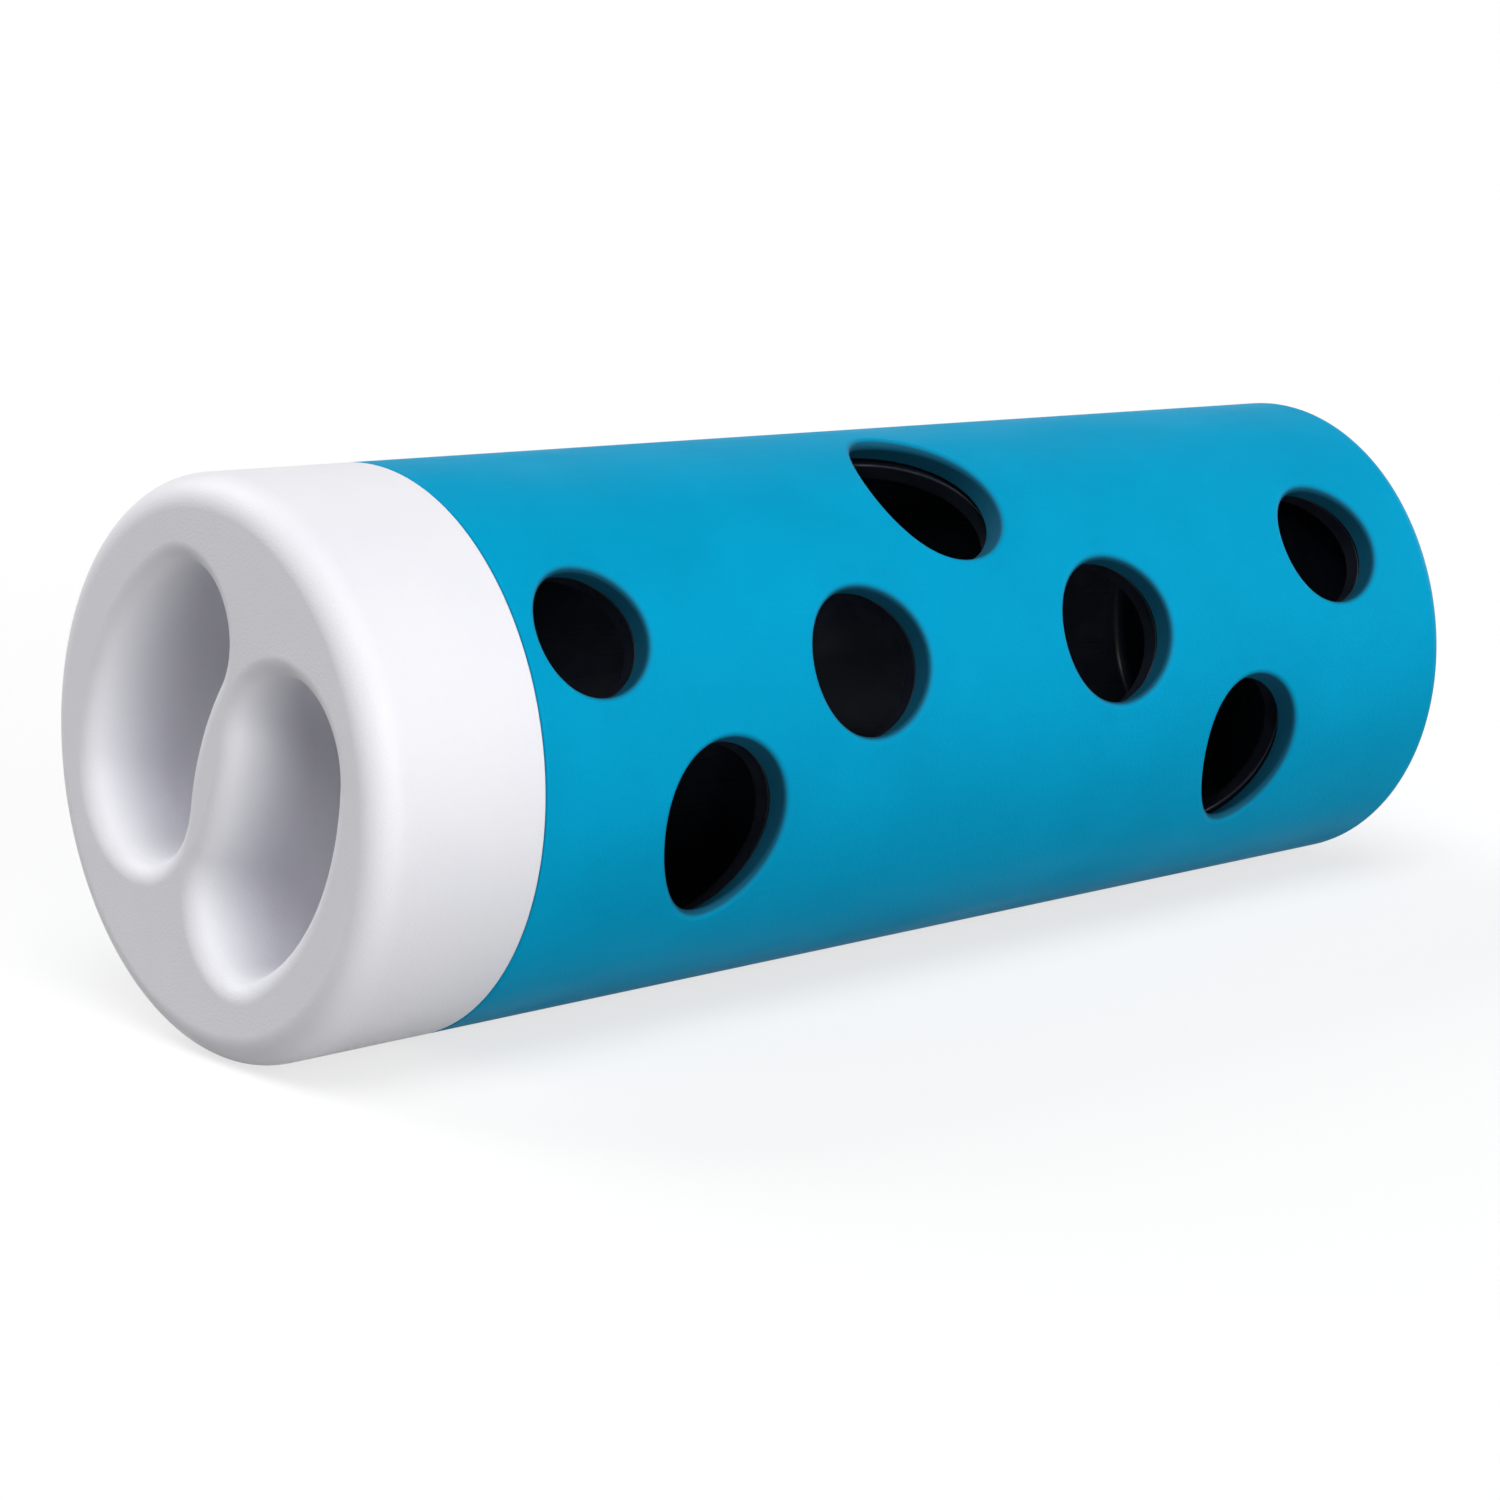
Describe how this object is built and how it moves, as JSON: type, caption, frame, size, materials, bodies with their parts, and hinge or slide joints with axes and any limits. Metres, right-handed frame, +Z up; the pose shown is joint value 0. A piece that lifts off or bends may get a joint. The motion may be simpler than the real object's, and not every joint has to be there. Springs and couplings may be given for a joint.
{
  "type": "treat dispensing roll toy",
  "caption": "Tapered roll pet toy: a perforated soft sleeve round a rotating inner drum that holds dry treats, closed by a rounded twist cap with two finger recesses.",
  "frame": {"origin": "on the roll's axis at half its length, the centre of the bounding box", "axes": "+X along the axis from the cap to the closed far end; +Z up; the open row of holes faces -Y; the taper makes the resting line tilt 1.5 degrees from the X axis"},
  "size_m": [0.1494, 0.0598, 0.0598],
  "materials": {
    "sleeve_blue": "satin moulded soft thermoplastic, faintly mottled",
    "drum_black": "glossy moulded hard plastic",
    "cap_white": "satin moulded hard plastic"
  },
  "bodies": {
    "sleeve": {"outer_sleeve": "sleeve_blue"},
    "drum": {"treat_drum": "drum_black"},
    "cap": {"twist_cap": "cap_white"}
  },
  "joints": [
    {"name": "drum_turn", "type": "hinge", "parent": "sleeve", "child": "drum", "pos_m": [0, 0, 0], "axis": [1, 0, 0], "continuous": true},
    {"name": "cap_pull", "type": "slide", "parent": "drum", "child": "cap", "axis": [-1, 0, 0], "range_m": [0, 0.03]}
  ]
}
